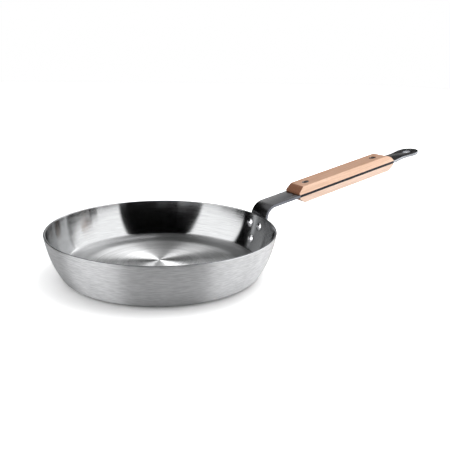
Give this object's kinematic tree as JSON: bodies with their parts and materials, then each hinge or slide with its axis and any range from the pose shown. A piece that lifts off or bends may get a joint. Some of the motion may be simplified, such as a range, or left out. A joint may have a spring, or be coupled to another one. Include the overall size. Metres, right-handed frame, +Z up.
{
  "type": "omelette pan",
  "caption": "Shallow round brushed steel pan with flared walls, a riveted dark steel strap handle, a beech grip and a hanging eye.",
  "frame": {"origin": "middle of the flat base, on the surface that the pan stands on", "axes": "+X from the pan's middle along the handle, +Z up"},
  "size_m": [0.4855, 0.2398, 0.1107],
  "materials": {
    "pan_steel": "brushed in rings",
    "strap_steel": "dark satin",
    "rivet_steel": "polished",
    "beech": "smooth, oiled",
    "grip_rivet_steel": "polished"
  },
  "bodies": {
    "root": {"pan_body": "pan_steel", "handle_strap": "strap_steel", "pan_rivet_left": "rivet_steel", "pan_rivet_right": "rivet_steel", "pan_rivet_low": "rivet_steel", "grip_scale_upper": "beech", "grip_scale_lower": "beech", "grip_rivet_front": "grip_rivet_steel", "grip_rivet_rear": "grip_rivet_steel"}
  },
  "joints": []
}
